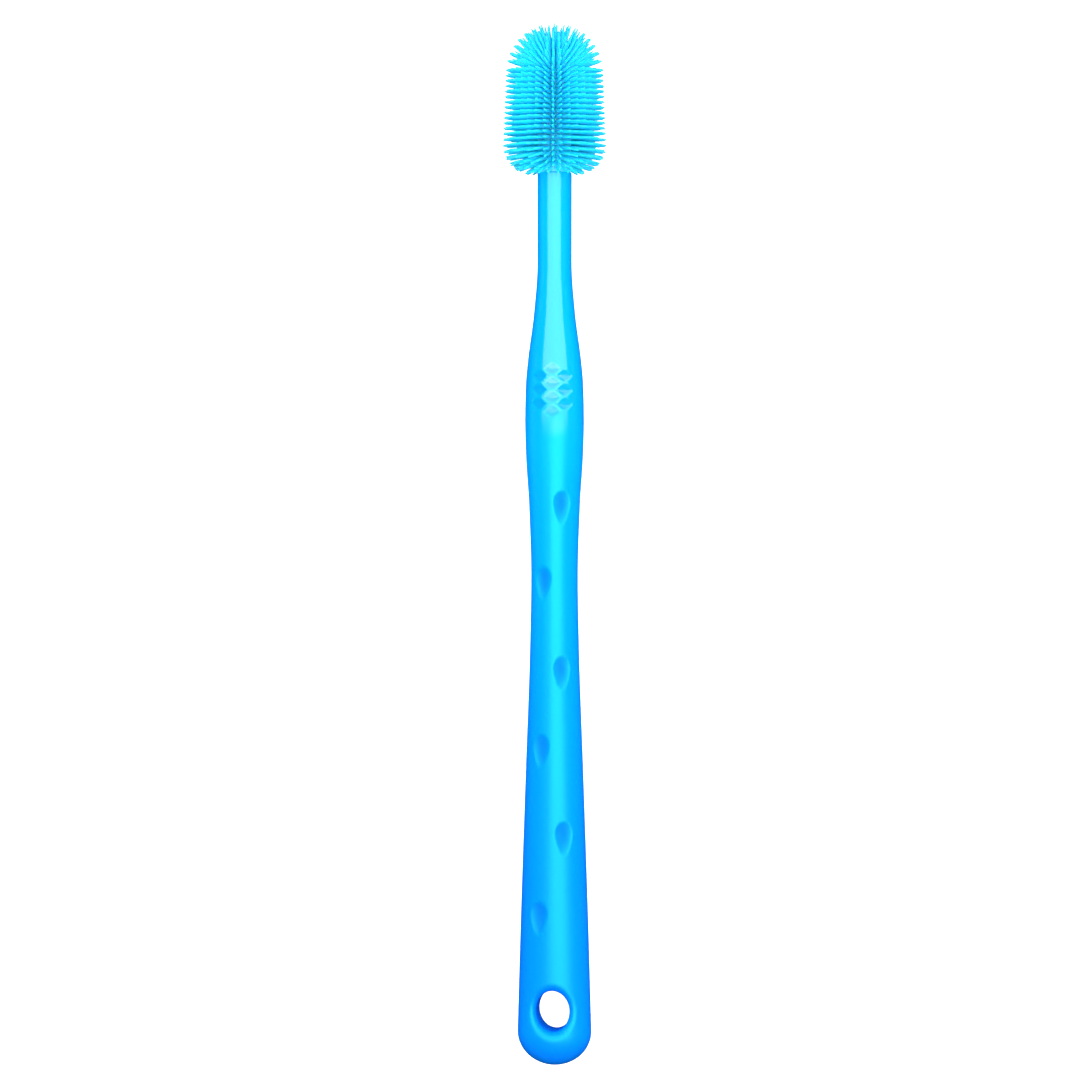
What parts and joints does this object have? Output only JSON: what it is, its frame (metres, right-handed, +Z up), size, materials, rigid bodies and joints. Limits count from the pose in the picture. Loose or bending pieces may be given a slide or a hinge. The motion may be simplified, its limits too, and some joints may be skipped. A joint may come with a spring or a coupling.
{
  "type": "pet toothbrush",
  "caption": "Slim tapered handle with thumb dimples, a hang hole and a round neck, carrying a domed silicone head with bristles all round.",
  "frame": {"origin": "under the middle of the brush, on the plane that it lies on", "axes": "+X to the side, +Y from the tail to the bristle head, +Z up out of the side with the thumb dimples; the handle's own axis rises towards the head by about 1.9 degrees because the head's tips and the grip's back touch the plane"},
  "size_m": [0.0174, 0.1748, 0.0173],
  "materials": {
    "handle_plastic": "tinted glossy moulded plastic",
    "head_silicone": "soft translucent silicone"
  },
  "bodies": {
    "root": {"handle": "handle_plastic", "bristle_head": "head_silicone"}
  },
  "joints": []
}
